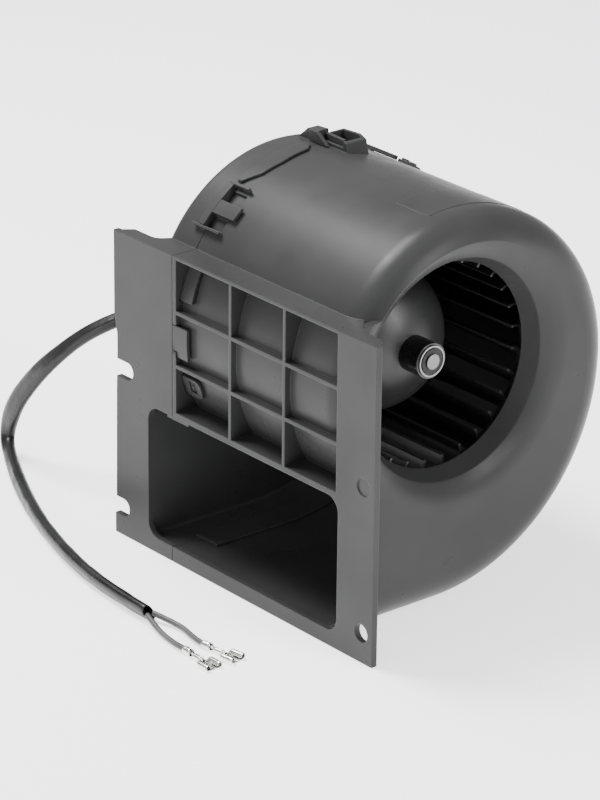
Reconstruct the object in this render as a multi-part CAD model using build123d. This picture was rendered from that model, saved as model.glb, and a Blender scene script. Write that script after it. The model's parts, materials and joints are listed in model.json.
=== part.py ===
"""Single-inlet centrifugal heater blower: snapped scroll housing, impeller, DC motor and two-wire lead.

Working frame: X runs along the fan axis from the motor side (0) to the inlet side, Y runs back from
the front face of the outlet flange (0), Z runs up from the bottom edge of the flange (0).
Every piece is moved to the row frame on export: origin at the middle of the base, under the body.
"""
from build123d import *
from math import asin, cos, degrees, hypot, pi, radians, sin, tan
import os

# ---------------------------------------------------------------- driving sizes, millimetres
flange_width = 155.0
flange_height = 126.0
flange_thickness = 2.5
wall = 2.2                      # housing wall

# scroll: three quarter arcs that grow from the front, over the top and round the back
front_radius = 61.6
back_radius = 69.5
bottom_radius = 82.7
front_gap = 2.5                 # flange face to the frontmost point of the scroll
scroll_floor = 3.3              # underside of the scroll above the flange's bottom edge
scroll_left = 19.0              # motor-side face of the housing
scroll_width = 117.9
inlet_edge_radius = 12.9        # outer edge on the inlet side
motor_edge_radius = 3.6         # outer edge on the motor side
duct_top = 62.8                 # top of the outlet duct, the floor of the front recess
duct_roof = 2.3                 # thickness of the duct's top wall
tongue_height = 1.6             # blunt edge of the cut-off tongue
outlet_sill = 6.2               # lower edge of the outlet opening
outlet_corner = 6.0

# fan axis and impeller
axis_y = 56.1
axis_z = 96.3
wheel_radius = 47.5
blade_root_radius = 38.7        # inner edge of the blades
blade_count = 28
blade_sweep = 60.0              # degrees that each blade curves forwards
blade_thickness = 1.0
blade_phase = 7.4               # turn of the first blade
blade_inset = 0.2               # outer edge of the blades below the rim
wheel_gap = 2.6                 # motor-side wall to the back plate
back_plate = 1.5
mouth_gap = 3.3                 # impeller rim to the neck of the inlet
rim_width = 2.5
rim_depth = 3.0
dome_wall = 1.6
dome_start_radius = 31.8
dome_points = [(84.0, 30.8), (95.5, 27.3), (103.5, 21.5), (108.5, 13.5), (110.3, 7.0)]

# inlet bell mouth
mouth_outer = 54.0              # where the mouth leaves the flat face
mouth_radius = 16.2             # rounded part, from the face in to the crease
crease_depth = 3.9              # crease behind the face
crease_radius = 43.5
crease_round = 1.2
neck_depth = 10.9
neck_radius = 40.2
mouth_wall = 2.0

# seam between the two halves of the housing
seam_x = 36.2
seam_gap = 0.4
lip_length = 10.0
lip_thickness = 1.0
lip_clearance = 0.1
roof_lip_start = 0.2            # where the lip begins under the duct's roof
roof_lip_end = 11.0
floor_lip_start = 14.0          # where it begins along the duct's floor

# snap tabs in the recess: reach past the seam, gap under them, corner radius, first and last angle
recess_tabs = ((9.2, 0.6, 0.5, 152.9, 166.8), (8.9, 1.0, 0.5, 176.2, 187.6), (12.5, 0.3, 3.0, 195.0, 202.8))
snap_thickness = 1.4
snap_gap = 0.3
snap_root = 3.0                 # how far a tab overlaps its own half
hook_window = (5.5, 9.7, 196.3, 200.9)

# side latch across the front of the seam
latch_low = 121.6
latch_high = 141.2
latch_post = 0.9                # angle that each post spans
latch_tongue = (129.5, 134.8)   # first and last angle
latch_reach = 8.3               # length of the windows beside the tongue
post_foot = 2.0
sunk = 0.5                      # how deep added blocks start below the skin

# flared overlap across the top of the seam
flare_gap = 0.5
flare_thickness = 0.7

# top clip
clip_front = 71.0
clip_pocket_front = 73.0
clip_back = 83.0
clip_wall = 1.2
clip_height = 4.2

# rear rails and latches: start angles on the back and bottom arcs
rail_angles = (60.0, 20.0)
rail_span = 1.6
rail_reach = 13.5
rear_tab_angles = (-25.0, -70.0)
rear_tab_span = 7.0
rear_tab_reach = 11.0

# faint raised pad on top
pad_left = 103.3
pad_right = 121.6
pad_height = 0.15

# recess with ribs above the outlet
recess_left = 38.6
recess_right = 133.4
rib = 1.4
rib_columns = (71.3, 103.0)
rib_rows = (81.8, 103.6)
shelf = 1.2                     # top wall of the recess
shelf_depth = 14.0
shelf_edge = 6.5                # depth of the shelf beyond the scroll

# fixing points in the flange
fixing_inset = 6.2              # right-hand fixings, from the right edge
fixing_low = 11.8
fixing_high = 70.0
fixing_radius = 3.6
notch_radius = 3.6
notch_depths = (9.0, 11.8)      # lower and upper notch
blind_mark_depth = 0.5

# motor
shaft_radius = 3.0
can_radius = 27.0
can_wall = 1.5
can_start = 14.0
can_end = 80.0
bearing_radius = 6.0
bearing_length = 7.0
running_clearance = 0.03
boss_radius = 8.5
boss_lip = 1.0                  # end wall that retains each bearing
washer_radius = 5.5
washer_thickness = 1.4
end_play = 0.1
cap_thickness = 2.0
cap_spigot = 3.0
spigot_wall = 1.3
seal_thickness = 1.8            # rubber between the can and the hole in the motor-side wall
screw_offset = 6.5              # screws outside the can
screw_radius = 1.5
screw_head = 3.0
screw_angles = (90, 210, 330)
screw_boss = 3.0
web_angles = (30, 150, 270)     # stiffening ribs on the motor-side wall
web_height = 2.0
mount_plate = 2.0
mount_ear = 4.0
magnet_thickness = 7.0
magnet_span = 130.0
magnet_start = 32.0
magnet_length = 38.0
air_gap = 0.8
core_length = 32.0
slot_count = 12
slot_width = 3.0
slot_root = 8.5
slot_mouth = 1.2
tooth_tip = 2.0
end_turn = 6.0
commutator_radius = 8.0
commutator_start = 18.0
commutator_length = 10.0
commutator_bars = 24
brush_x = 22.5                  # middle of the brushes along the shaft
brush_width = 5.0
brush_depth = 6.0
brush_length = 8.5
holder_wall = 0.6
holder_start = 9.0              # inner end of a holder, from the axis
holder_gap = 2.4                # outer end of a holder to the can
holder_clearance = 0.05
spring_wire = 0.5
spring_radius = 2.0
spring_turns = 5
card_thickness = 1.5

# impeller hub
hub_start = 95.5
hub_sleeve_radius = 8.5
bush_core_radius = 5.5
bush_radius = 7.0
bush_end = 120.6
bush_nose = 0.4
clamp_ring_wall = 0.6
clamp_ring_length = 0.7
retainer_radius = 5.0
retainer_thickness = 0.4
shaft_stub = 0.6                # shaft showing beyond the retainer

# lead
sleeve_diameter = 6.4
wire_diameter = 2.2
grommet_ring = can_radius - 7.7     # distance of the grommet from the fan axis
grommet_angle = 251.57
grommet_y = axis_y + grommet_ring * cos(radians(grommet_angle))
grommet_z = axis_z + grommet_ring * sin(radians(grommet_angle))
grommet_hole = 4.2
sleeve_route = [
    (4.0, grommet_y, grommet_z), (-14.0, grommet_y - 1.5, grommet_z), (-32.0, 38.0, 74.0),
    (-46.5, 22.5, 64.5), (-60.0, 14.0, 50.2), (-70.4, 11.2, 38.6), (-81.8, 9.7, 23.7), (-91.1, 12.5, 6.7),
    (-76.0, 4.0, 3.2), (-45.4, -11.7, 3.2), (-14.0, -24.5, 3.2), (20.0, -34.5, 3.2), (48.0, -38.9, 3.2),
    (73.4, -39.6, 3.2),
]
front_wire_route = [
    (73.8, -41.0, 3.2), (80.5, -42.6, 1.9), (88.0, -44.4, 1.4), (95.5, -45.5, 1.4), (101.5, -45.8, 1.6),
    (105.1, -45.8, 1.6),
]
back_wire_route = [
    (73.8, -38.2, 3.2), (80.5, -35.8, 1.9), (88.0, -35.0, 1.4), (95.5, -36.7, 1.4), (101.5, -37.8, 1.6),
    (105.5, -37.2, 1.6),
]
barrel_length = 4.5
barrel_wall = 0.4
terminal_length = 18.0
wire_insertion = 2.3            # length of a wire inside its barrel
tab_width = 6.3                 # blade size that the terminals take
tab_thickness = 0.8
front_terminal_turn = -0.6      # degrees from +X, seen from above
back_terminal_turn = 8.5

# ---------------------------------------------------------------- worked-out places
scroll_right = scroll_left + scroll_width
front_centre = (front_gap + front_radius, scroll_floor + bottom_radius + back_radius - front_radius)
back_centre = (front_centre[0], scroll_floor + bottom_radius)
bottom_centre = (back_centre[0] + back_radius - bottom_radius, back_centre[1])
overall_depth = back_centre[0] + back_radius
wheel_back = scroll_left + wall + wheel_gap
scroll_top = back_centre[1] + back_radius
neck_x = scroll_right - neck_depth
wheel_front = neck_x - mouth_gap
can_inner = can_radius - can_wall
core_radius = can_inner - magnet_thickness - air_gap
core_start = magnet_start + (magnet_length - core_length) / 2
wall_hole = can_radius + seal_thickness
screw_circle = can_radius + screw_offset
holder_end = can_inner - holder_gap
dome_tip = dome_points[-1][0]
nose_end = bush_end + bush_nose
retainer_end = nose_end + retainer_thickness
shaft_end = retainer_end + shaft_stub
row_shift = Location((-flange_width / 2, -overall_depth / 2, 0))

os.makedirs("parts", exist_ok=True)
pieces = {}


# ---------------------------------------------------------------- helpers
def slab(x0, x1, y0, y1, z0, z1):
    """Box between two corners."""
    return Pos((x0 + x1) / 2, (y0 + y1) / 2, (z0 + z1) / 2) * Box(x1 - x0, y1 - y0, z1 - z0)


def prism_x(points, x0, x1):
    """Polygon in the YZ plane, extruded from x0 to x1."""
    face = Plane.YZ.offset(x0) * make_face(Polyline(*points, close=True))
    return extrude(face, amount=x1 - x0, dir=(1, 0, 0))


def prism_z(points, z0, z1):
    """Polygon in the XY plane, extruded from z0 to z1."""
    face = Plane.XY.offset(z0) * make_face(Polyline(*points, close=True))
    return extrude(face, amount=z1 - z0, dir=(0, 0, 1))


def radial_plane(centre, angle):
    """Plane through an axis parallel to X: local x runs along the axis, local y outwards."""
    a = radians(angle)
    return Plane(origin=(0, centre[0], centre[1]), x_dir=(1, 0, 0), z_dir=(0, -sin(a), cos(a)))


def turned(profile, centre=(axis_y, axis_z), start=0.0, sweep_angle=360.0):
    """Closed (x, radius) profile turned about an axis parallel to X."""
    face = profile if isinstance(profile, Sketch) else make_face(Polyline(*profile, close=True))
    about = Axis((0, centre[0], centre[1]), (1, 0, 0))
    return revolve(radial_plane(centre, start) * face, axis=about, revolution_arc=sweep_angle)


def ring(x0, x1, r0, r1, centre=(axis_y, axis_z), start=0.0, sweep_angle=360.0):
    """Tube or bent block between two radii."""
    return turned([(x0, r0), (x1, r0), (x1, r1), (x0, r1)], centre, start, sweep_angle)


def disc(x0, x1, radius, y=axis_y, z=axis_z):
    """Solid cylinder parallel to X."""
    return Pos(x0, y, z) * Rot(0, 90, 0) * Cylinder(radius, x1 - x0, align=(Align.CENTER, Align.CENTER, Align.MIN))


def around(angle, radius):
    """Point in the YZ plane at an angle from +Y about the fan axis."""
    a = radians(angle)
    return axis_y + radius * cos(a), axis_z + radius * sin(a)


def edge_profile(inset, depth):
    """Housing cross-section from an inner line out to the wall, with both outer edges rounded."""
    x0 = scroll_left + inset
    x1 = scroll_right - inset
    outline = make_face(Polyline((x0, 0), (x1, 0), (x1, depth), (x0, depth), close=True))
    corners = outline.vertices().sort_by(Axis.Y)[2:].sort_by(Axis.X)
    outline = fillet(corners[0], max(motor_edge_radius - inset, 0.2))
    corners = outline.vertices().sort_by(lambda v: -v.X - v.Y)
    return fillet(corners[0], max(inlet_edge_radius - inset, 0.2))


def scroll_body(inset, front):
    """The housing's outline as one solid, moved inwards by inset; its duct runs out to y = front."""
    arcs = [
        (front_centre, front_radius, 90.0, 90.0),
        (back_centre, back_radius, 0.0, 90.0),
        (bottom_centre, bottom_radius, -90.0, 90.0),
    ]
    roof = duct_top - (duct_roof if inset > 0 else inset)
    tongue = roof + (tongue_height if inset > 0 else 0)
    drop = degrees(asin((front_centre[1] - tongue) / (front_radius - inset)))
    body = turned(edge_profile(inset, front_radius - inset), front_centre, 90.0, 90.0 + drop)
    for centre, radius, start, span in arcs[1:]:
        body += turned(edge_profile(inset, radius - inset), centre, start, span)
    tongue_y = front_centre[0] - (front_radius - inset) * cos(radians(drop))
    core = [
        (tongue_y, tongue), front_centre, back_centre, bottom_centre,
        (bottom_centre[0], roof - 1), (tongue_y, roof - 1),
    ]
    body += prism_x(core, scroll_left + inset, scroll_right - inset)
    floor = scroll_floor + inset
    duct = Plane(origin=(0, front, roof), x_dir=(1, 0, 0), z_dir=(0, 1, 0)) * edge_profile(inset, roof - floor)
    body += extrude(duct, amount=bottom_centre[0] - front, dir=(0, 1, 0))
    return body


def tube(points, diameter):
    """Round cord along straight runs joined by the largest arcs that each corner allows."""
    radii = []
    for before, corner, after in zip(points, points[1:], points[2:]):
        into = Vector(*corner) - Vector(*before)
        out = Vector(*after) - Vector(*corner)
        half_turn = radians(into.get_angle(out)) / 2
        radii.append(0.45 * min(into.length, out.length) / tan(half_turn))
    path = FilletPolyline(*points, radius=radii)
    start = Plane(origin=points[0], z_dir=path % 0)
    solid = sweep(start * Circle(diameter / 2), path=path)
    section = pi * diameter ** 2 / 4
    print("cord", round(path.length, 1), "mm, radii", [round(r, 1) for r in radii],
          "volume share", round(solid.volume / (section * path.length), 4))
    return solid


def keep(name, solid):
    """Store a piece under its node name."""
    pieces[name] = solid


# ---------------------------------------------------------------- housing, before it is split
outer = scroll_body(0.0, 0.0)
shell = outer - scroll_body(wall, -1.0)

# bell mouth of the inlet: rounded from the face in to a crease, then a nearly straight neck
mouth_centre = (scroll_right - mouth_radius, mouth_outer)
crease = (scroll_right - crease_depth, crease_radius)
back_scale = (mouth_radius - mouth_wall) / mouth_radius
crease_back = tuple(c + (p - c) * back_scale for p, c in zip(crease, mouth_centre))
mouth_band = make_face(
    Polyline((scroll_right, mouth_outer), (scroll_right, neck_radius), (neck_x, neck_radius),
             (neck_x, neck_radius + mouth_wall), crease_back)
    + RadiusArc(crease_back, (scroll_right - mouth_wall, mouth_outer), -(mouth_radius - mouth_wall))
    + Line((scroll_right - mouth_wall, mouth_outer), (scroll_right, mouth_outer))
)
mouth_void = make_face(
    RadiusArc((scroll_right, mouth_outer), crease, mouth_radius)
    + Polyline(crease, (neck_x, neck_radius), (neck_x - 1, neck_radius), (neck_x - 1, 0), (scroll_right + 5, 0),
               (scroll_right + 5, mouth_outer), (scroll_right, mouth_outer))
)
crease_corner = mouth_void.vertices().sort_by(lambda v: hypot(v.X - crease[0], v.Y - crease[1]))[0]
mouth_void = fillet(crease_corner, crease_round)
shell += turned(mouth_band) & outer
shell -= turned(mouth_void)

# flange with the outlet opening, the recess window and the fixing points
flange = slab(0, flange_width, 0, flange_thickness, 0, flange_height)
left_edge = [(-1, 8), (0, 8), (0.7, 16), (1.3, 62), (1.8, 76), (1.8, 84), (0, 92), (-1, 92)]
flange -= extrude(Plane.XZ.offset(-flange_thickness - 1) * make_face(Polyline(*left_edge, close=True)), amount=5)
opening_top = duct_top - duct_roof
opening = Plane.XZ * Pos((2 * scroll_left + scroll_width) / 2, (outlet_sill + opening_top) / 2)
opening *= RectangleRounded(scroll_width - 2 * wall, opening_top - outlet_sill, outlet_corner)
opening = extrude(opening, amount=flange_thickness, both=True)
flange -= opening
window_top = flange_height - shelf
flange -= slab(recess_left, recess_right, -1, flange_thickness + 1, duct_top, window_top)
fixing_x = flange_width - fixing_inset
bore = Rot(90, 0, 0) * Cylinder(fixing_radius, 4 * flange_thickness)
flange -= Pos(fixing_x, 0, fixing_low) * bore
flange -= Pos(fixing_x, 0, fixing_high) * Rot(90, 0, 0) * Cylinder(fixing_radius, 2 * blind_mark_depth)
for height, notch_depth in zip((fixing_low, fixing_high), notch_depths):
    slot = slab(-1, notch_depth - notch_radius, -1, 4, height - notch_radius, height + notch_radius)
    slot += Pos(notch_depth - notch_radius, 0, height) * bore
    slot += Plane.XZ.offset(-4) * extrude(
        make_face(Polyline((-1, height), (3.5, height), (-1, height + notch_radius + 1.6), close=True)), amount=8)
    flange -= slot

# top shelf: roof of the recess, and a stiffening edge behind the flange's left corner
core_cut = scroll_body(wall / 2, -1.0)
shelf_left = scroll_left + motor_edge_radius
shelf_right = scroll_right - motor_edge_radius - 2
shelf_plan = [
    (1.0, flange_thickness / 2), (5.0, shelf_edge), (scroll_left - 4.0, shelf_edge),
    (scroll_left - 2.0, shelf_edge + 0.4), (scroll_left - 0.4, shelf_edge + 1.5),
    (scroll_left + 0.8, shelf_edge + 3.2), (shelf_left, shelf_depth), (shelf_right, shelf_depth),
    (scroll_right - 0.8, shelf_edge + 3.2), (scroll_right + 0.4, shelf_edge + 1.5),
    (scroll_right + 2.0, shelf_edge + 0.4), (scroll_right + 4.0, shelf_edge), (flange_width - 5.0, shelf_edge),
    (flange_width - 1.0, flange_thickness / 2),
]
frame = prism_z(shelf_plan, window_top, flange_height)

# walls and ribs of the recess, from the flange face back to the scroll
frame += slab(seam_x + seam_gap, recess_left, 0, shelf_depth, duct_top - 1, window_top + 1)
frame += slab(recess_right, scroll_right - 0.2, 0, shelf_depth + 6, duct_top - 1, window_top + 1)
for x in rib_columns:
    frame += slab(x - rib / 2, x + rib / 2, 0, shelf_depth, duct_top - 1, window_top + 1)
for z in rib_rows:
    frame += slab(recess_left - 1, recess_right + 1, 0, shelf_depth, z - rib / 2, z + rib / 2)
frame -= core_cut
body = shell + flange + frame
body -= turned(mouth_void)
body -= opening

# split at the seam
left_side = slab(-5, seam_x, -5, overall_depth + 10, -5, flange_height + 60)
right_side = slab(seam_x + seam_gap, flange_width + 5, -5, overall_depth + 10, -5, flange_height + 60)
motor_half = body & left_side
inlet_half = body & right_side
lip_inset = wall + lip_clearance
lip_void = scroll_body(lip_inset + lip_thickness, -1.0)
lip_void += slab(-5, flange_width, -5, floor_lip_start, -5, (outlet_sill + opening_top) / 2)
lip = scroll_body(lip_inset, roof_lip_start) - lip_void
lip_root = scroll_body(wall / 2, flange_thickness) - lip_void
motor_half += lip & slab(seam_x - 3, seam_x + lip_length, -5, 200, -5, 200)
motor_half += lip_root & slab(seam_x - 3, seam_x - 0.5, -5, 200, -5, 200)
lip_top = opening_top - lip_clearance
motor_half += slab(seam_x - 3.2, seam_x + lip_length - 0.2, roof_lip_start, roof_lip_end, lip_top - lip_thickness, lip_top)
motor_half += slab(seam_x - 2.9, seam_x - 0.6, flange_thickness + 0.5, roof_lip_end - 0.5, lip_top - 0.5, opening_top + 0.3)


def on_front(x0, x1, low, high, start, end):
    """Block that follows the front arc of the scroll, between two heights above its skin."""
    return ring(x0, x1, front_radius + low, front_radius + high, front_centre, start, end - start)


def on_back(x0, x1, low, high, start, end):
    """Block that follows the rear arc of the scroll, between two heights above its skin."""
    return ring(x0, x1, back_radius + low, back_radius + high, back_centre, start, end - start)


# snap tabs of the motor-side half that reach into the recess, with rounded outer corners
for reach, gap, corner, start, end in recess_tabs:
    tab = on_front(seam_x - snap_root, seam_x + reach, gap, gap + snap_thickness, start, end)
    ends = [e for e in tab.edges() if e.center().X > seam_x + reach - 0.01 and e.length < snap_thickness + 0.1]
    tab = fillet(ends, corner)
    inlet_half -= on_front(seam_x, recess_left + 1, 0.0, gap + snap_thickness + 0.4, start - 0.4, end + 0.4)
    motor_half += tab
    motor_half += on_front(seam_x - snap_root, seam_x, -sunk, gap + 0.1, start, end)
first, last, start, end = hook_window
motor_half -= on_front(seam_x + first, seam_x + last, 0.0, 2.0, start, end)
lug_start = seam_x + first + 0.7
inlet_half += on_front(lug_start, seam_x + last - 0.7, -sunk, 1.2, start + 0.8, end - 0.8)
inlet_half += on_front(lug_start + 1, seam_x + last - 1.4, 0.6, 1.7, start + 1.4, end - 1.4)

# side latch: rail, two guide posts and a tongue that snaps over a catch block
motor_half += on_front(seam_x - snap_root, seam_x, -sunk, 2.4, latch_low, latch_high - latch_post - 0.3)
for start, first, last in ((latch_low, 0.0, 8.8), (latch_high - latch_post, -4.0, 9.8)):
    end = start + latch_post
    motor_half += on_front(seam_x + first - post_foot, seam_x + last, snap_gap, 2.6, start, end)
    motor_half += on_front(seam_x + first - post_foot, seam_x, -sunk, snap_gap + 0.1, start, end)
start, end = latch_tongue
motor_half += on_front(seam_x - 0.4, seam_x + 12.6, 0.9, 2.2, start, end)
inlet_half -= on_front(seam_x, seam_x + latch_reach, -1.2, 1.0, latch_low + 2.4, start - 0.3)
inlet_half -= on_front(seam_x, seam_x + latch_reach, -1.2, 1.0, end + 0.4, latch_high - 1.4)
inlet_half += on_front(seam_x + 8.0, seam_x + 11.5, -sunk, 0.8, start + 0.6, end - 0.6)

# flared overlap of the motor-side half across the top of the seam
flare_plan = [
    (seam_x - 2, 33.2), (seam_x + 0.2, 33.2), (seam_x + 4.8, 39.5), (seam_x + 6.0, 48.8),
    (seam_x + 4.8, 61.8), (seam_x + 2.3, 64.5), (seam_x + 0.2, 66.5), (seam_x - 2, 66.5),
]
flare_top = -flare_gap - flare_thickness
skin_over = scroll_body(flare_top, 0.0) - scroll_body(-flare_gap, -1.0)
skin_root = scroll_body(flare_top, 0.0) - scroll_body(0.5, -1.0)
flare = prism_z(flare_plan, back_centre[1], scroll_top + 10)
motor_half += flare & skin_over
motor_half += flare & skin_root & slab(seam_x - 2, seam_x, 0, 90, back_centre[1], scroll_top + 10)


def on_top(points, y0, y1):
    """Polygon of distances past the seam and heights above the scroll's top, extruded along Y."""
    outline = [(seam_x + x, scroll_top + z) for x, z in points]
    return extrude(Plane.XZ.offset(-y1) * make_face(Polyline(*outline, close=True)), amount=y1 - y0)


# top clip: wedge, stiffening rib and tongue on the motor-side half
below_skin = scroll_body(0.5, 0.0)
wedge = on_top([(-12, -3), (-12, -0.2), (-6.5, 4.4), (-0.2, 4.8), (-0.2, -3)], clip_front, clip_front + 5)
rib_plate = on_top([(-4.5, -1), (-4.5, 4.6), (-0.2, 4.6), (6.0, 0.3)], clip_front - 0.9, clip_front + 0.5)
tongue_plate = on_top([(-0.6, 1.0), (-0.6, 3.6), (10.5, 3.2), (10.5, 0.9)], clip_front + 3.4, clip_front + 4.8)
motor_half += wedge - below_skin
motor_half += rib_plate - scroll_body(-0.2, 0.0)
motor_half += tongue_plate

# open pocket of the clip on the inlet half: four thin walls, the front one low
pocket_plan = [(0.5, -3), (0.5, 3.6), (10.5, clip_height), (14.0, 2.9), (15.5, -3)]
inner_plan = [(0.5 + clip_wall, -4), (0.5 + clip_wall, 6), (12.6, 6), (12.6, 2.9), (14.1, -4)]
pocket = on_top(pocket_plan, clip_pocket_front, clip_back)
pocket -= on_top(inner_plan, clip_pocket_front + clip_wall, clip_back - clip_wall)
low_front = on_top([(-1, 0.9), (-1, 6), (12.2, 6), (12.2, 0.9)], clip_pocket_front - 1, clip_pocket_front + clip_wall)
pocket -= low_front
pocket -= on_top([(-1, 0.4), (-1, 6), (2, 6), (2, 0.4)], clip_front + 3.0, clip_front + 5.2)
inlet_half += pocket - below_skin

# rear rails, each stopped by a catch block with two knobs
for start in rail_angles:
    motor_half += on_back(seam_x - 6, seam_x + rail_reach, 0.1, 1.8, start, start + rail_span)
    motor_half += on_back(seam_x - 6, seam_x, -sunk, 0.2, start, start + rail_span)
    inlet_half += on_back(seam_x + rail_reach + 0.5, seam_x + 20, -sunk, 1.2, start - 6.0, start)
    for knob in (start - 5.4, start - 1.8):
        inlet_half += on_back(seam_x + 15, seam_x + 18, 1.0, 2.0, knob, knob + 1.2)

# lower rear tabs: windows that snap over lugs
for start in rear_tab_angles:
    for x1, low, high in ((seam_x + rear_tab_reach, snap_gap, snap_gap + snap_thickness), (seam_x, -0.5, 0.4)):
        motor_half += ring(seam_x - snap_root, x1, bottom_radius + low, bottom_radius + high, bottom_centre,
                           start, rear_tab_span)
    motor_half -= ring(seam_x + 5, seam_x + 9, bottom_radius - 0.2, bottom_radius + 2, bottom_centre,
                       start + 1.5, 4)
    inlet_half += ring(seam_x + 5.6, seam_x + 8.4, bottom_radius - 0.5, bottom_radius + 2, bottom_centre,
                       start + 2, 3)

# faint raised pad on top
inlet_half += on_back(pad_left, pad_right, -sunk, pad_height, rail_angles[0], 90.0)
inlet_half += on_front(pad_left, pad_right, -sunk, pad_height, 90.0, 101.0)

# motor-side wall: hole for the motor, three screw bosses and stiffening ribs
motor_half -= disc(scroll_left - 2, scroll_left + wall + 2, wall_hole)
plate_end = can_start + mount_plate
for angle in screw_angles:
    y, z = around(angle, screw_circle)
    motor_half += disc(plate_end, scroll_left + wall / 2, screw_boss, y, z)
    motor_half -= disc(plate_end - 1, scroll_left + wall - 0.6, screw_radius, y, z)
for angle in web_angles:
    y, z = around(angle, wall_hole + 9)
    web = Box(web_height, 15.0, rib, align=(Align.MAX, Align.CENTER, Align.CENTER))
    motor_half += Pos(scroll_left + 0.5, y, z) * Rot(angle, 0, 0) * web
keep("inlet_housing", inlet_half)
keep("motor_side_housing", motor_half)

# ---------------------------------------------------------------- motor, fixed parts
front_bearing_end = can_end + bearing_length - 2
boss_end = front_bearing_end + boss_lip
front_bearing_start = front_bearing_end - bearing_length
can = turned([
    (can_start, can_radius), (can_end, can_radius), (can_end, boss_radius), (boss_end, boss_radius),
    (boss_end, shaft_radius + 1), (front_bearing_end, shaft_radius + 1), (front_bearing_end, bearing_radius),
    (front_bearing_start, bearing_radius), (front_bearing_start, boss_radius), (can_end - can_wall, boss_radius),
    (can_end - can_wall, can_inner), (can_start, can_inner),
])
keep("motor_can", can)

rear_bearing_end = can_start + 1
rear_bearing_start = rear_bearing_end - bearing_length
cap_back = rear_bearing_start - boss_lip
spigot_end = can_start + cap_spigot
spigot_inner = can_inner - spigot_wall
end_cap = turned([
    (cap_back, 0), (cap_back, boss_radius), (can_start - cap_thickness, boss_radius),
    (can_start - cap_thickness, can_radius), (can_start, can_radius), (can_start, can_inner),
    (spigot_end, can_inner), (spigot_end, spigot_inner), (can_start, spigot_inner), (can_start, boss_radius),
    (rear_bearing_end, boss_radius), (rear_bearing_end, bearing_radius), (rear_bearing_start, bearing_radius),
    (rear_bearing_start, 0),
])
end_cap -= disc(can_start - cap_thickness - 1, can_start + 0.5, grommet_hole, grommet_y, grommet_z)
keep("motor_end_cap", end_cap)

bush_bore = shaft_radius + running_clearance
keep("front_bearing", ring(front_bearing_start, front_bearing_end, bush_bore, bearing_radius))
keep("rear_bearing", ring(rear_bearing_start, rear_bearing_end, bush_bore, bearing_radius))

for side, angle in (("back", 0), ("front", 180)):
    magnet = ring(magnet_start, magnet_start + magnet_length, can_inner - magnet_thickness, can_inner,
                  start=angle - magnet_span / 2, sweep_angle=magnet_span)
    keep(f"field_magnet_{side}", magnet)

holder_half_x = brush_width / 2 + holder_clearance + holder_wall
card_start = brush_x + holder_half_x
card = ring(card_start, card_start + card_thickness, commutator_radius + 1.5, can_inner)
keep("brush_card", card)


def brush_box(half_x, half_y, low, high):
    """Box centred on the brush line, reaching up from the fan axis."""
    return slab(brush_x - half_x, brush_x + half_x, axis_y - half_y, axis_y + half_y, axis_z + low, axis_z + high)


cavity_x = brush_width / 2 + holder_clearance
cavity_y = brush_depth / 2 + holder_clearance
holder = brush_box(cavity_x + holder_wall, cavity_y + holder_wall, holder_start, holder_end)
holder -= brush_box(cavity_x, cavity_y, holder_start - 1, holder_end - holder_wall)
about_shaft = Axis((0, axis_y, axis_z), (1, 0, 0))
keep("brush_holders", Compound(children=[holder, holder.rotate(about_shaft, 180)]))
brush_end = commutator_radius + brush_length
brush = brush_box(brush_width / 2, brush_depth / 2, commutator_radius - 1, brush_end)
brush -= disc(brush_x - 5, brush_x + 5, commutator_radius + running_clearance)
keep("brush_top", brush)
keep("brush_bottom", brush.rotate(about_shaft, 180))
spring_length = holder_end - holder_wall - brush_end
coil_height = spring_length - spring_wire
coil = Helix(coil_height / spring_turns, coil_height, spring_radius)
coil_start = Plane(origin=coil @ 0, z_dir=coil % 0)
spring = sweep(coil_start * Circle(spring_wire / 2), path=coil)
spring = Pos(brush_x, axis_y, axis_z + brush_end + spring_wire / 2) * spring
keep("brush_spring_top", spring)
keep("brush_spring_bottom", spring.rotate(about_shaft, 180))

plate = ring(can_start, plate_end, can_radius, can_radius + 3.5)
for angle in screw_angles:
    y, z = around(angle, screw_circle)
    plate += disc(can_start, plate_end, mount_ear, y, z)
    plate -= disc(can_start - 1, plate_end + 1, screw_radius, y, z)
plate -= disc(can_start - 1, plate_end + 1, can_radius)
keep("motor_mount_plate", plate)
screws = []
for angle in screw_angles:
    y, z = around(angle, screw_circle)
    screws.append(disc(can_start - 2, can_start, screw_head, y, z)
                  + disc(can_start, scroll_left + wall - 0.8, screw_radius, y, z))
keep("motor_mount_screws", Compound(children=screws))
seal = turned([
    (scroll_left - 1.5, can_radius), (scroll_left + wall + 0.8, can_radius), (scroll_left + wall + 0.8, wall_hole),
    (scroll_left, wall_hole), (scroll_left, wall_hole + 1.2), (scroll_left - 1.5, wall_hole + 1.2),
])
keep("motor_seal", seal)

# ---------------------------------------------------------------- turning parts
def thinned(points):
    """The points of an outer profile moved inwards by the dome's wall, square to their neighbours."""
    moved = []
    for k, (x, r) in enumerate(points):
        before = points[max(k - 1, 0)]
        after = points[min(k + 1, len(points) - 1)]
        dx = after[0] - before[0]
        dr = after[1] - before[1]
        length = hypot(dx, dr)
        moved.append((x + dome_wall * dr / length, r - dome_wall * dx / length))
    return moved


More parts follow.
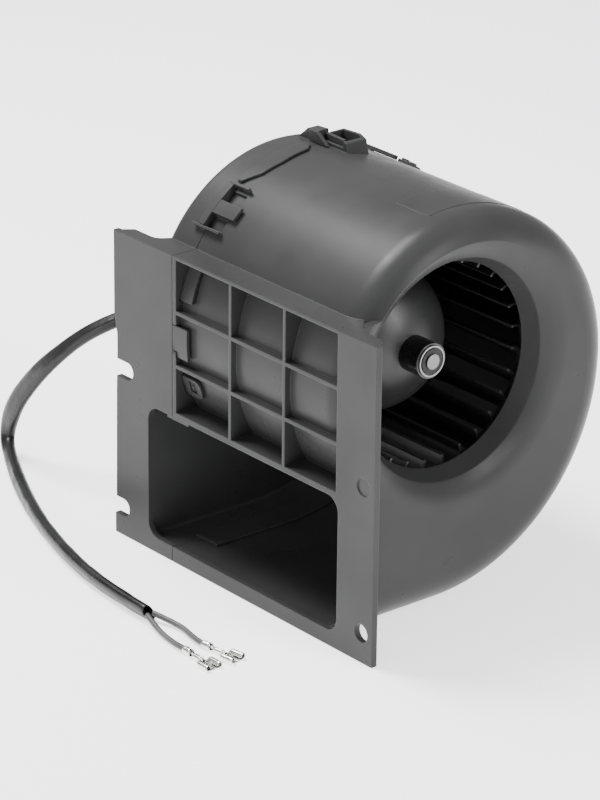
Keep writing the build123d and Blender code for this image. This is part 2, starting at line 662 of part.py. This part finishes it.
wheel_open = can_radius + 1.2
plate_front = wheel_back + back_plate
dome_base = (wheel_back, dome_start_radius)
inner_base = (wheel_back, dome_start_radius - dome_wall)
dome_inner = thinned(dome_points)
dome_end = (dome_inner[-1][0], bush_core_radius)
dome_face = make_face(
    Line(dome_base, dome_points[0]) + Spline(*dome_points)
    + Polyline(dome_points[-1], (dome_tip, bush_core_radius), dome_end, dome_inner[-1])
    + Spline(*reversed(dome_inner)) + Polyline(dome_inner[0], inner_base, dome_base)
)
wheel = turned(dome_face)
wheel += ring(wheel_back, plate_front, wheel_open, wheel_radius)
wheel += ring(hub_start, dome_tip - dome_wall / 2, bush_core_radius, hub_sleeve_radius)
blade_radius = (wheel_radius - blade_root_radius) / sin(radians(blade_sweep)) * 0.975


def blade_point(turn, offset):
    """Point on a blade's curve after a turn in degrees, moved off its middle line."""
    a = radians(turn)
    reach = blade_radius + offset
    return axis_y + blade_root_radius + reach * sin(a), axis_z - blade_radius + reach * cos(a)


half = blade_thickness / 2
blade_face = make_face(
    ThreePointArc(*[blade_point(t, half) for t in (0, blade_sweep / 2, blade_sweep)])
    + Line(blade_point(blade_sweep, half), blade_point(blade_sweep, -half))
    + ThreePointArc(*[blade_point(t, -half) for t in (blade_sweep, blade_sweep / 2, 0)])
    + Line(blade_point(0, -half), blade_point(0, half))
)
blade_start = wheel_back + back_plate / 2
blade = extrude(Plane.YZ.offset(blade_start) * blade_face, dir=(1, 0, 0), amount=wheel_front - blade_start)
blade &= disc(wheel_back, wheel_front, wheel_radius - blade_inset)
blades = [blade.rotate(about_shaft, blade_phase + 360.0 * i / blade_count) for i in range(blade_count)]
wheel += blades
wheel += ring(wheel_front - rim_width, wheel_front, wheel_radius - rim_depth, wheel_radius)
keep("impeller", wheel)

bush = turned([
    (hub_start, shaft_radius), (hub_start, bush_core_radius), (dome_tip, bush_core_radius),
    (dome_tip, bush_radius), (bush_end, bush_radius), (bush_end, bush_core_radius),
    (nose_end, bush_core_radius), (nose_end, shaft_radius),
])
keep("hub_bush", bush)
clamp_outer = bush_core_radius + clamp_ring_wall
keep("hub_clamp_ring", ring(bush_end, bush_end + clamp_ring_length, bush_core_radius, clamp_outer))
keep("shaft_retainer", ring(nose_end, retainer_end, shaft_radius, retainer_radius))
keep("motor_shaft", disc(rear_bearing_start + 0.5, shaft_end, shaft_radius))

core = ring(core_start, core_start + core_length, shaft_radius, core_radius)
turns = []
slot_top = core_radius - tooth_tip
for i in range(slot_count):
    slot = slab(core_start - 1, core_start + core_length + 1, axis_y + slot_root, axis_y + slot_top,
                axis_z - slot_width / 2, axis_z + slot_width / 2)
    mouth = slab(core_start - 1, core_start + core_length + 1, axis_y + slot_root, axis_y + core_radius + 1,
                 axis_z - slot_mouth / 2, axis_z + slot_mouth / 2)
    fill = slab(core_start - 1, core_start + core_length + 1, axis_y + slot_root + 0.1, axis_y + slot_top - 0.1,
                axis_z - slot_width / 2 + 0.1, axis_z + slot_width / 2 - 0.1)
    angle = 360.0 * i / slot_count
    core -= (slot + mouth).rotate(about_shaft, angle)
    turns.append(fill.rotate(about_shaft, angle))
keep("armature_core", core)
windings = ring(core_start - 0.2 - end_turn, core_start - 0.2, slot_root - 1.5, slot_top - 0.3)
windings += ring(core_start + core_length + 0.2, core_start + core_length + 0.2 + end_turn,
                 slot_root - 1.5, slot_top - 0.3)
windings += turns
keep("armature_windings", windings)
bars = ring(commutator_start, commutator_start + commutator_length, shaft_radius, commutator_radius)
for i in range(commutator_bars):
    gap = slab(commutator_start - 1, commutator_start + commutator_length - 2, axis_y + commutator_radius - 1,
               axis_y + commutator_radius + 1, axis_z - 0.2, axis_z + 0.2)
    bars -= gap.rotate(about_shaft, 360.0 * (i + 0.5) / commutator_bars)
keep("commutator", bars)
washer_front = front_bearing_start - end_play - washer_thickness
washer_rear = rear_bearing_end + end_play
keep("thrust_washers", Compound(children=[
    ring(x, x + washer_thickness, shaft_radius, washer_radius) for x in (washer_front, washer_rear)]))

# ---------------------------------------------------------------- lead
nose = sleeve_route[0][0] + 0.4
grommet = turned([
    (nose, wire_diameter), (nose, grommet_hole), (can_start - cap_thickness - 1, grommet_hole + 0.8),
    (can_start - cap_thickness, grommet_hole + 1.8), (can_start - cap_thickness, grommet_hole),
    (can_start, grommet_hole), (can_start, grommet_hole + 0.6), (can_start + 1, grommet_hole + 0.6),
    (can_start + 1, wire_diameter),
], (grommet_y, grommet_z))
keep("cord_grommet", grommet)
keep("harness_sleeve", tube(sleeve_route, sleeve_diameter))
keep("lead_wire_front", tube(front_wire_route, wire_diameter))
keep("lead_wire_back", tube(back_wire_route, wire_diameter))


def terminal(wire_end, turn):
    """Crimped push-on receptacle, its axis running from the end of a wire."""
    inner = wire_diameter / 2 + 0.1
    along = Rot(0, 90, 0)
    low = (Align.CENTER, Align.CENTER, Align.MIN)
    barrel = Cylinder(inner + barrel_wall, barrel_length, align=low)
    barrel -= Cylinder(inner, barrel_length, align=low)
    solid = along * barrel
    crimp_start = barrel_length + 1.5
    solid += Pos(crimp_start, 0, 0) * along * Cylinder(inner + barrel_wall / 2, barrel_length, align=low)
    corner = (Align.MIN, Align.CENTER, Align.CENTER)
    floor = -inner - barrel_wall / 2
    solid += Pos(barrel_length - 1, 0, floor) * Box(2.8, 1.8, barrel_wall, align=corner)
    tray_start = terminal_length - 8.0
    solid += Pos(crimp_start, 0, floor) * Box(tray_start - crimp_start + 1, 2.0, barrel_wall, align=corner)
    width = tab_width + 1.5
    solid += Pos(tray_start, 0, floor) * Box(8.0, width, barrel_wall, align=corner)
    roll = 1.3
    for side in (-1, 1):
        y = side * (width / 2 - roll / 2)
        curl = Cylinder(roll, 8.0, align=low) - Cylinder(roll - barrel_wall, 8.0, align=low)
        curl -= Pos(0.7, -side * 1.0, 4.0) * Box(1.0 + tab_thickness, 1.6, 9.0)
        solid += Pos(tray_start, y - side * roll / 2, floor + roll) * along * curl
    return Pos(*wire_end) * Rot(0, 0, turn) * Pos(-wire_insertion, 0, 0) * solid


keep("terminal_front", terminal(front_wire_route[-1], front_terminal_turn))
keep("terminal_back", terminal(back_wire_route[-1], back_terminal_turn))

for name, solid in pieces.items():
    export_step(solid.moved(row_shift), f"parts/{name}.step")
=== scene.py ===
"""Looks of the centrifugal heater blower: plastics, metals, the lead with its terminals, and a studio.

Everything is in the row frame, in metres. Routes are listed in millimetres from the flange's lower left
front corner, and place() moves them.
"""
import json
import math

import bpy
from mathutils import Matrix, Vector


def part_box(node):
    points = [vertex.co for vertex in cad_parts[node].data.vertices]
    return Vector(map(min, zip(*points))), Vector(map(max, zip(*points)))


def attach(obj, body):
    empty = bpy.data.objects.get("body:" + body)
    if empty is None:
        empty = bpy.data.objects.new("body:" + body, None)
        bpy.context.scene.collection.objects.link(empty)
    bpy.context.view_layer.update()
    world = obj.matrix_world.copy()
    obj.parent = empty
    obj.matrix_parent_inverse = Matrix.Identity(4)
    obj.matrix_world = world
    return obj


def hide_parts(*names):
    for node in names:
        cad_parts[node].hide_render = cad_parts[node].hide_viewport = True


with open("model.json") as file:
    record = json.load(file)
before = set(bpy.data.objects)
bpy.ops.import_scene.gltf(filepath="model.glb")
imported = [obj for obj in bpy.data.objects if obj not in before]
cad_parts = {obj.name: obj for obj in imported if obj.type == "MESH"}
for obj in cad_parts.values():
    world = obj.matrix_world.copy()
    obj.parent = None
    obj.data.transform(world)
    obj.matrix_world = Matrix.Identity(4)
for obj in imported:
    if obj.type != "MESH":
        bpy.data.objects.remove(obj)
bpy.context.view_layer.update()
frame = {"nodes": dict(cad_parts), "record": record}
nodes = frame["nodes"]
MM = 0.001
flange_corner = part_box("motor_side_housing")[0]
left_edge, front_face = flange_corner.x, flange_corner.y


def place(x, y, z):
    """Row-frame point for a place given in millimetres from the flange's lower left front corner."""
    return Vector((left_edge + x * MM, front_face + y * MM, z * MM))


# ---------------------------------------------------------------- materials
# depths and edge radii in metres
GRAIN_DEPTH = 0.00003
FLOW_DEPTH = 0.0008
FLOW_STRENGTH = 0.35
SCRATCH_DEPTH = 0.00002
SKIN_DEPTH = 0.00012
METAL_EDGE = 0.0002
# how much lighter a plastic edge is painted, as rubbed wear plus a painted highlight, and how much darker a
# stain on metal
WEAR_AND_HIGHLIGHT_GAIN, WEAR_AND_HIGHLIGHT_LIFT = 1.9, 0.02
STAIN_SHADE = 0.62


class Shader:
    """A Principled material with short calls for the nodes that feed it."""

    def __init__(self, name, roughness=0.5, metallic=0.0, specular=0.5):
        self.material = bpy.data.materials.new(name)
        self.material.use_nodes = True
        self.tree = self.material.node_tree
        self.bsdf = self.tree.nodes["Principled BSDF"]
        self.bsdf.inputs["Roughness"].default_value = roughness
        self.bsdf.inputs["Metallic"].default_value = metallic
        self.bsdf.inputs["Specular IOR Level"].default_value = specular
        self.coords = self.node("ShaderNodeTexCoord").outputs["Object"]

    def node(self, kind, **settings):
        made = self.tree.nodes.new(kind)
        for key, value in settings.items():
            setattr(made, key, value)
        return made

    def link(self, source, target):
        self.tree.links.new(source, target)

    def noise(self, scale, detail=3.0, roughness=0.5, stretch=None):
        """Noise with features of about 1/scale metres, optionally stretched along the axes."""
        made = self.node("ShaderNodeTexNoise")
        made.inputs["Scale"].default_value = scale
        made.inputs["Detail"].default_value = detail
        made.inputs["Roughness"].default_value = roughness
        source = self.coords
        if stretch:
            mapping = self.node("ShaderNodeMapping")
            mapping.inputs["Scale"].default_value = stretch
            self.link(source, mapping.inputs["Vector"])
            source = mapping.outputs["Vector"]
        self.link(source, made.inputs["Vector"])
        return made.outputs["Fac"]

    def remap(self, value, low, high, out_low, out_high):
        made = self.node("ShaderNodeMapRange")
        for key, number in (("From Min", low), ("From Max", high), ("To Min", out_low), ("To Max", out_high)):
            made.inputs[key].default_value = number
        self.link(value, made.inputs["Value"])
        return made.outputs["Result"]

    def mix(self, factor, first, second):
        """Colour mix; each colour is a tuple or another node's output."""
        made = self.node("ShaderNodeMix", data_type="RGBA")
        sockets = [s for s in made.inputs if s.type == "RGBA"]
        for socket, colour in zip(sockets, (first, second)):
            if isinstance(colour, tuple):
                socket.default_value = (*colour, 1.0)
            else:
                self.link(colour, socket)
        self.link(factor, made.inputs["Factor"])
        return next(s for s in made.outputs if s.type == "RGBA")

    def rounded(self, radius):
        """Normal that rounds the sharp edges of a moulded or pressed piece."""
        made = self.node("ShaderNodeBevel", samples=6)
        made.inputs["Radius"].default_value = radius
        return made.outputs["Normal"]

    def edges(self, normal):
        """Mask that is 0 on faces and rises along rounded edges."""
        true_normal = self.node("ShaderNodeNewGeometry").outputs["Normal"]
        dot = self.node("ShaderNodeVectorMath", operation="DOT_PRODUCT")
        self.link(normal, dot.inputs[0])
        self.link(true_normal, dot.inputs[1])
        return self.remap(dot.outputs["Value"], 1.0, 0.8, 0.0, 1.0)

    def bump(self, height, distance, normal=None, strength=1.0):
        made = self.node("ShaderNodeBump")
        made.inputs["Distance"].default_value = distance
        made.inputs["Strength"].default_value = strength
        self.link(height, made.inputs["Height"])
        if normal is not None:
            self.link(normal, made.inputs["Normal"])
        return made.outputs["Normal"]

    def colour(self, source):
        self.link(source, self.bsdf.inputs["Base Color"])

    def rough(self, source):
        self.link(source, self.bsdf.inputs["Roughness"])

    def normal(self, source):
        self.link(source, self.bsdf.inputs["Normal"])


def moulded(name, shade, spread=0.25, rough=(0.34, 0.5), edge=0.0005, wear_and_highlight=0.35, specular=0.5):
    """Moulded plastic: drifting tone, fine spark-eroded grain, flow marks, and slightly polished edges
    painted lighter as rubbed wear plus a painted highlight.
    """
    s = Shader(name, specular=specular)
    dark = tuple(c * (1 - spread) for c in shade)
    light = tuple(c * (1 + spread) for c in shade)
    # edge colour painted lighter: rubbed wear plus a painted highlight
    wear_and_highlight_tone = tuple(c * WEAR_AND_HIGHLIGHT_GAIN + WEAR_AND_HIGHLIGHT_LIFT for c in shade)
    drift = s.remap(s.noise(22, 4), 0.35, 0.65, 0.0, 1.0)
    body = s.mix(drift, dark, light)
    rounded = s.rounded(edge)
    speckle = s.remap(s.noise(1500, 5, 0.7), 0.55, 0.75, 0.0, 0.35)
    body = s.mix(speckle, body, light)
    # mask along the rounded edges where the lighter colour is painted: rubbed wear plus a painted highlight
    wear_and_highlight_mask = s.node("ShaderNodeMath", operation="MULTIPLY")
    wear_and_highlight_mask.inputs[1].default_value = wear_and_highlight
    s.link(s.edges(rounded), wear_and_highlight_mask.inputs[0])
    s.colour(s.mix(wear_and_highlight_mask.outputs[0], body, wear_and_highlight_tone))
    s.rough(s.remap(s.noise(60, 5, 0.6), 0.3, 0.7, *rough))
    flow = s.bump(s.noise(9, 2), FLOW_DEPTH, rounded, FLOW_STRENGTH)
    s.normal(s.bump(s.noise(2600, 3, 0.6), GRAIN_DEPTH, flow))
    return s.material


def metal(name, shade, rough=(0.22, 0.38), brushed=None, tarnish=0.3):
    """Bare or plated metal with fine scratches and faint staining."""
    s = Shader(name, metallic=1.0)
    stain = s.remap(s.noise(180, 5, 0.65), 0.4, 0.75, 0.0, tarnish)
    s.colour(s.mix(stain, shade, tuple(c * STAIN_SHADE for c in shade)))
    s.rough(s.remap(s.noise(420, 4, 0.6, brushed), 0.3, 0.7, *rough))
    s.normal(s.bump(s.noise(2200, 2, 0.5, brushed), SCRATCH_DEPTH, s.rounded(METAL_EDGE)))
    return s.material


def rubber(name, shade, rough=(0.4, 0.6), specular=0.5):
    """Soft black or grey polymer with a slightly uneven skin."""
    s = Shader(name, specular=specular)
    drift = s.remap(s.noise(70, 4), 0.35, 0.65, 0.0, 1.0)
    s.colour(s.mix(drift, tuple(c * 0.8 for c in shade), tuple(c * 1.25 + 0.004 for c in shade)))
    s.rough(s.remap(s.noise(260, 4), 0.3, 0.7, *rough))
    s.normal(s.bump(s.noise(520, 3, 0.55), SKIN_DEPTH))
    return s.material


# maker, slot, base colour and settings of each finish
finish_table = [
    # the edge-lightening setting of each moulded finish paints rubbed wear plus a painted highlight on its
    # edges
    (moulded, "housing_plastic", (0.036, 0.036, 0.0368),
     {"spread": 0.12, "rough": (0.26, 0.4), "wear_and_highlight": 0.6, "specular": 0.12}),
    (moulded, "wheel_plastic", (0.017, 0.017, 0.0175),
     {"spread": 0.1, "rough": (0.3, 0.42), "edge": 0.0004, "wear_and_highlight": 0.8, "specular": 0.4}),
    (moulded, "bush_plastic", (0.012, 0.012, 0.0125), {"spread": 0.1, "rough": (0.22, 0.35), "edge": 0.0004}),
    (metal, "spring_steel", (0.26, 0.26, 0.26), {"rough": (0.22, 0.36)}),
    (metal, "dark_steel", (0.035, 0.035, 0.036), {"rough": (0.35, 0.5), "tarnish": 0.4}),
    (metal, "shaft_steel", (0.2, 0.2, 0.2), {"rough": (0.35, 0.5), "brushed": (1, 12, 12)}),
    (metal, "zinc_steel", (0.55, 0.56, 0.57), {"rough": (0.28, 0.45), "tarnish": 0.45}),
    (metal, "bronze", (0.5, 0.33, 0.17), {"rough": (0.4, 0.6), "tarnish": 0.5}),
    (metal, "holder_brass", (0.72, 0.52, 0.22), {"rough": (0.25, 0.4)}),
    (metal, "copper", (0.68, 0.3, 0.14), {"rough": (0.3, 0.5), "brushed": (1, 20, 20), "tarnish": 0.4}),
    (metal, "lamination", (0.3, 0.3, 0.31), {"rough": (0.35, 0.5), "brushed": (30, 1, 1), "tarnish": 0.5}),
    (moulded, "ferrite", (0.03, 0.03, 0.032), {"spread": 0.3, "rough": (0.6, 0.8), "edge": 0.0004}),
    (moulded, "card_plastic", (0.2, 0.09, 0.035), {"spread": 0.3, "rough": (0.5, 0.65), "edge": 0.0002}),
    (moulded, "carbon", (0.02, 0.02, 0.02), {"spread": 0.3, "rough": (0.5, 0.7), "edge": 0.0002}),
    (rubber, "seal_rubber", (0.02, 0.02, 0.02), {}),
    (rubber, "sleeve_black", (0.006, 0.006, 0.0065), {"rough": (0.3, 0.42), "specular": 0.3}),
    (rubber, "wire_grey", (0.06, 0.06, 0.06), {"rough": (0.42, 0.55)}),
    (metal, "tin", (0.78, 0.78, 0.76), {"rough": (0.18, 0.34), "tarnish": 0.25}),
]
finishes = {slot: make(slot, shade, **settings) for make, slot, shade, settings in finish_table}
for part in frame["record"]["subparts"]:
    mesh = nodes[part["node"]].data
    mesh.materials.clear()
    mesh.materials.append(finishes[part["material_slot"]])


# ---------------------------------------------------------------- mesh helpers
def mesh_object(name, points, faces, material, smooth=True):
    mesh = bpy.data.meshes.new(name)
    mesh.from_pydata(points, [], faces)
    mesh.update()
    for polygon in mesh.polygons:
        polygon.use_smooth = smooth
    mesh.materials.append(material)
    made = bpy.data.objects.new(name, mesh)
    bpy.context.scene.collection.objects.link(made)
    return made


def loft(name, rings, material, closed=True):
    """Skin over rings of equal count."""
    count = len(rings[0])
    points = [p for ring in rings for p in ring]
    faces = []
    for r in range(len(rings) - 1):
        for i in range(count if closed else count - 1):
            j = (i + 1) % count
            faces.append((r * count + i, r * count + j, (r + 1) * count + j, (r + 1) * count + i))
    return mesh_object(name, points, faces, material)


def route_curve(name, route):
    """One open NURBS spline with a route's points as its control points."""
    curve = bpy.data.curves.new(name, "CURVE")
    curve.dimensions = "3D"
    curve.resolution_u = 16
    spline = curve.splines.new("NURBS")
    spline.points.add(len(route) - 1)
    for point, place_mm in zip(spline.points, route):
        point.co = (*place(*place_mm), 1.0)
    spline.order_u = 3
    spline.use_endpoint_u = True
    made = bpy.data.objects.new(name, curve)
    bpy.context.scene.collection.objects.link(made)
    return made


def path_of(route):
    """Points along a route's spline."""
    guide = route_curve("guide", route)
    mesh = bpy.data.meshes.new_from_object(guide)
    points = [v.co.copy() for v in mesh.vertices]
    bpy.data.objects.remove(guide)
    bpy.data.meshes.remove(mesh)
    return points


def frames_along(points):
    """Share of the length, point, sideways and upward directions at each point of a path."""
    lengths = [0.0]
    for a, b in zip(points, points[1:]):
        lengths.append(lengths[-1] + (b - a).length)
    side = None
    result = []
    for i, point in enumerate(points):
        ahead = (points[min(i + 1, len(points) - 1)] - points[max(i - 1, 0)]).normalized()
        if side is None:
            side = ahead.cross(Vector((0, 0, 1))).normalized()
        side = (side - ahead * side.dot(ahead)).normalized()
        result.append((lengths[i] / lengths[-1], point, side, side.cross(ahead)))
    return result


def blend_table(table, t):
    """Smooth value at t from a short list of (t, value) pairs."""
    for (t0, v0), (t1, v1) in zip(table, table[1:]):
        if t <= t1:
            u = (t - t0) / (t1 - t0)
            u = u * u * (3 - 2 * u)
            return v0 + (v1 - v0) * u
    return table[-1][1]


# ---------------------------------------------------------------- the lead
sleeve_route = [
    (4.0, 50.0, 78.0), (-14.0, 48.5, 78.0), (-32.0, 38.0, 74.0), (-46.5, 22.5, 64.5), (-60.0, 14.0, 50.2),
    (-70.4, 11.2, 38.6), (-81.8, 9.7, 23.7), (-91.1, 12.5, 6.7), (-76.0, 4.0, 3.2), (-45.4, -11.7, 3.2),
    (-14.0, -24.5, 3.2), (20.0, -34.5, 3.2), (48.0, -38.9, 3.2), (73.4, -39.6, 3.2),
]
front_wire_route = [
    (73.8, -41.0, 3.2), (80.5, -42.6, 1.9), (88.0, -44.4, 1.4), (95.5, -45.5, 1.4), (101.5, -45.8, 1.6),
    (105.1, -45.8, 1.6),
]
back_wire_route = [
    (73.8, -38.2, 3.2), (80.5, -35.8, 1.9), (88.0, -35.0, 1.4), (95.5, -36.7, 1.4), (101.5, -37.8, 1.6),
    (105.5, -37.2, 1.6),
]
WIRE = 2.2 * MM

# width, thickness and roll of the sleeve along its length
sleeve_width = [
    (0.0, 6.6), (0.12, 6.4), (0.2, 6.8), (0.3, 8.8), (0.39, 8.4), (0.47, 5.8), (0.56, 6.6), (0.75, 7.6),
    (0.94, 7.8), (1.0, 8.4),
]
sleeve_thick = [
    (0.0, 6.2), (0.12, 5.6), (0.2, 5.6), (0.3, 4.8), (0.39, 4.8), (0.47, 5.2), (0.56, 5.6), (0.75, 5.6),
    (0.94, 5.2), (1.0, 4.8),
]
sleeve_roll = [(0.0, 0.0), (0.2, 35.0), (0.45, 80.0), (0.55, 60.0), (0.75, 15.0), (1.0, 0.0)]
SLEEVE_SIDES = 28          # points round the sleeve
WAIST_DEPTH = 0.10         # share of the thickness lost between the two wires
WAIST_WIDTH = 0.35
SLEEVE_BORE = 0.84         # inner size of the open end as a share of the outer
SLEEVE_MOUTH = 6 * MM      # how deep the open end goes
MOUTH_FLOOR = 0.02         # size of the ring that closes it


def sleeve():
    """Flattened plastic sleeve round two wires: a slight waist between them, a twist and an open end."""
    path = path_of(sleeve_route)
    rings = []
    stations = frames_along(path)
    for t, point, side, up in stations:
        half_width = blend_table(sleeve_width, t) * MM / 2
        half_thick = blend_table(sleeve_thick, t) * MM / 2
        roll = math.radians(blend_table(sleeve_roll, t))
        across = side * math.cos(roll) + up * math.sin(roll)
        out = up * math.cos(roll) - side * math.sin(roll)
        slack = 0.05 * math.sin(t * 95) + 0.04 * math.sin(t * 173 + 1)
        ring = []
        for i in range(SLEEVE_SIDES):
            a = 2 * math.pi * i / SLEEVE_SIDES
            pinch = WAIST_DEPTH * math.exp(-(math.cos(a) / WAIST_WIDTH) ** 2)
            waist = 1 - pinch + slack * 0.5 * math.cos(3 * a)
            ring.append(point + across * half_width * math.cos(a) + out * half_thick * waist * math.sin(a))
        rings.append(ring)
    end_point = stations[-1][1]
    back = (stations[-2][1] - end_point).normalized()
    inner = [end_point + (p - end_point) * SLEEVE_BORE for p in rings[-1]]
    deep = [p + back * SLEEVE_MOUTH for p in inner]
    floor = [end_point + back * SLEEVE_MOUTH + (p - end_point) * MOUTH_FLOOR for p in rings[-1]]
    rings += [inner, deep, floor]
    made = loft("harness_sleeve_skin", rings, finishes["sleeve_black"])
    soften(made, 1)
    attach(made, "blower")
    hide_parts("harness_sleeve")


def soften(made, levels):
    modifier = made.modifiers.new("Subdivision", "SUBSURF")
    modifier.levels = levels
    modifier.render_levels = levels


STRIP_POINTS = 24          # steps from one wing tip to the other


def around(radius, degrees, share):
    """Sideways and upward distance along an arc that starts at its lowest point."""
    a = math.radians(degrees) * share
    return radius * math.sin(a), radius * math.cos(a)


def wing(kind, reach):
    """Place of the sheet (sideways, up) in millimetres, reach being the share of the way to a wing tip."""
    if kind == "insulation":
        y, down = around(1.38, 172, reach)
        return y, 1.6 - down
    if kind == "wire":
        bend = 0.62
        if reach < bend:
            y, down = around(1.0, 168, reach / bend)
            return 1.05 * y, 1.25 - down
        k = (reach - bend) / (1 - bend)
        return 0.22 - 0.1 * k, 2.23 - 1.0 * k
    if kind == "neck":
        bend = 0.55
        if reach < bend:
            return 1.3 * reach / bend, 0.25
        k = (reach - bend) / (1 - bend)
        return 1.3 + 0.15 * k, 0.25 + 0.75 * k
    bend = 0.42
    if reach < bend:
        return 2.75 * reach / bend, 0.25
    y, down = around(1.12, 300, (reach - bend) / (1 - bend))
    return 2.75 + y, 0.25 + 1.12 - down


def strip_section(kind):
    """Cross-section of the terminal's sheet from one wing tip to the other, (sideways, up) in millimetres."""
    points = []
    for i in range(STRIP_POINTS + 1):
        u = 2.0 * i / STRIP_POINTS - 1.0
        y, z = wing(kind, abs(u))
        points.append((-y if u < 0 else y, z))
    return points


# distance from the terminal's back end in millimetres, and the section there
terminal_stations = [
    (0.0, "insulation"), (3.6, "insulation"), (4.6, "neck"), (5.4, "neck"), (6.1, "wire"), (9.8, "wire"),
    (10.5, "neck"), (10.9, "neck"), (12.0, "receptacle"), (17.9, "receptacle"),
]
CRIMP_BACK = 2.3           # how far the terminal reaches back over its wire
SHEET = 0.32 * MM


def terminal(node, wire_end, turn):
    """Tin-plated push-on receptacle: one strip folded into two crimps and a rolled tray."""
    to_place = Matrix.Translation(place(*wire_end)) @ Matrix.Rotation(math.radians(turn), 4, "Z")
    rings = []
    for (x0, kind0), (x1, kind1) in zip(terminal_stations, terminal_stations[1:]):
        first, second = strip_section(kind0), strip_section(kind1)
        steps = 4 if kind0 != kind1 else 5
        for k in range(steps):
            u = k / steps
            blend = u * u * (3 - 2 * u)
            x = x0 + (x1 - x0) * u - CRIMP_BACK
            rings.append([(x, a[0] + (b[0] - a[0]) * blend, a[1] + (b[1] - a[1]) * blend)
                          for a, b in zip(first, second)])
    last = strip_section("receptacle")
    rings.append([(terminal_stations[-1][0] - CRIMP_BACK, y, z) for y, z in last])
    placed = []
    for ring in rings:
        placed.append([to_place @ (Vector((x, y, z - wire_end[2])) * MM) for x, y, z in ring])
    made = loft(f"{node}_sheet", placed, finishes["tin"], closed=False)
    solid = made.modifiers.new("Sheet", "SOLIDIFY")
    solid.thickness = SHEET
    solid.offset = 0.0
    soften(made, 1)
    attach(made, "blower")
    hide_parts(node)
    return made, to_place


STRANDS = 7
STRAND_RADIUS = 0.19 * MM
STRAND_RING = 0.42         # distance of the outer strands from the middle one
STRAND_TWIST = 0.35        # radians from one point to the next
STRAND_STEPS = 7
STRAND_START, STRAND_REACH = 0.6, 8.6
STRAND_DROP = 0.2          # middle of the bundle below the wire's end


def strands(node, to_place):
    """Bare strands of the wire between the two crimps."""
    curve = bpy.data.curves.new(f"{node}_strands", "CURVE")
    curve.dimensions = "3D"
    curve.bevel_depth = STRAND_RADIUS
    curve.bevel_resolution = 2
    for k in range(STRANDS):
        radius = 0.0 if k == 0 else STRAND_RING
        spline = curve.splines.new("POLY")
        spline.points.add(STRAND_STEPS)
        for i, point in enumerate(spline.points):
            angle = 2 * math.pi * k / (STRANDS - 1) + STRAND_TWIST * i
            x = STRAND_START + STRAND_REACH * i / STRAND_STEPS
            local = Vector((x, radius * math.cos(angle), radius * math.sin(angle) - STRAND_DROP)) * MM
            point.co = (*(to_place @ local), 1.0)
    made = bpy.data.objects.new(f"{node}_strands", curve)
    bpy.context.scene.collection.objects.link(made)
    curve.materials.append(finishes["tin"])
    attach(made, "blower")
    return made


def wire(node, route):
    """Round insulated wire from the sleeve's end into its terminal."""
    made = route_curve(f"{node}_insulation", route)
    made.data.bevel_depth = WIRE / 2
    made.data.bevel_resolution = 5
    made.data.use_fill_caps = True
    made.data.materials.append(finishes["wire_grey"])
    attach(made, "blower")
    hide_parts(node)


sleeve()
for end, route, turn in (("front", front_wire_route, -0.6), ("back", back_wire_route, 8.5)):
    sheet, to_place = terminal(f"terminal_{end}", route[-1], turn)
    bundle = strands(f"terminal_{end}", to_place)
    wire(f"lead_wire_{end}", route)


# ---------------------------------------------------------------- studio
LOOK_AT = (0.0, 0.0, 0.08)
FLOOR_HALF, FLOOR_DROP = 6.0, 0.0002
FLOOR_GLOW = 1.5
WORLD_LIGHT = 0.46
# name, place, size and power of each light
lights = [
    ("key", (-0.5, -0.2, 1.1), (0.5, 0.5), 30),
    ("side", (1.2, 0.3, 0.7), (0.35, 0.8), 15),
    ("front", (0.2, -1.3, 0.5), (0.6, 0.6), 7),
]


def area_light(name, location, size, power):
    """Rectangular light turned towards the part."""
    data = bpy.data.lights.new(name, "AREA")
    data.shape = "RECTANGLE"
    data.size, data.size_y = size
    data.energy = power
    made = bpy.data.objects.new(name, data)
    made.location = location
    made.rotation_euler = (Vector(LOOK_AT) - Vector(location)).to_track_quat("-Z", "Y").to_euler()
    bpy.context.scene.collection.objects.link(made)


def studio():
    """Pale floor, white surroundings and three soft lights."""
    s = Shader("floor_white", roughness=0.6)
    s.bsdf.inputs["Emission Color"].default_value = (1.0, 1.0, 1.0, 1.0)
    s.bsdf.inputs["Emission Strength"].default_value = FLOOR_GLOW
    s.colour(s.mix(s.remap(s.noise(3, 2), 0.4, 0.6, 0.0, 1.0), (0.93, 0.93, 0.93), (0.95, 0.95, 0.95)))
    corners = [(x * FLOOR_HALF, y * FLOOR_HALF, -FLOOR_DROP) for x, y in ((-1, -1), (1, -1), (1, 1), (-1, 1))]
    floor = mesh_object("floor", corners, [(0, 1, 2, 3)], s.material, smooth=False)
    world = bpy.data.worlds.new("studio")
    world.use_nodes = True
    background = world.node_tree.nodes["Background"]
    background.inputs["Color"].default_value = (1.0, 1.0, 1.0, 1.0)
    background.inputs["Strength"].default_value = WORLD_LIGHT
    bpy.context.scene.world = world
    for light in lights:
        area_light(*light)



# camera fitted to the flange's edges in the photo
CAMERA_PLACE = (1178.4, -882.4, 667.1)
CAMERA_RIGHT = (0.6344, 0.7729, 0.0099)
CAMERA_BACK = (0.7114, -0.5889, 0.3836)


def camera():
    """Long lens from the front right, above the part and looking down at it."""
    data = bpy.data.cameras.new("camera")
    data.sensor_width = 36.0
    data.lens = 185.0
    data.clip_end = 20.0
    made = bpy.data.objects.new("camera", data)
    right = Vector(CAMERA_RIGHT).normalized()
    back = Vector(CAMERA_BACK).normalized()
    up = back.cross(right).normalized()
    right = up.cross(back)
    turn = Matrix((right, up, back)).transposed().to_4x4()
    made.matrix_world = Matrix.Translation(place(*CAMERA_PLACE)) @ turn
    bpy.context.scene.collection.objects.link(made)
    bpy.context.scene.camera = made


studio()
camera()
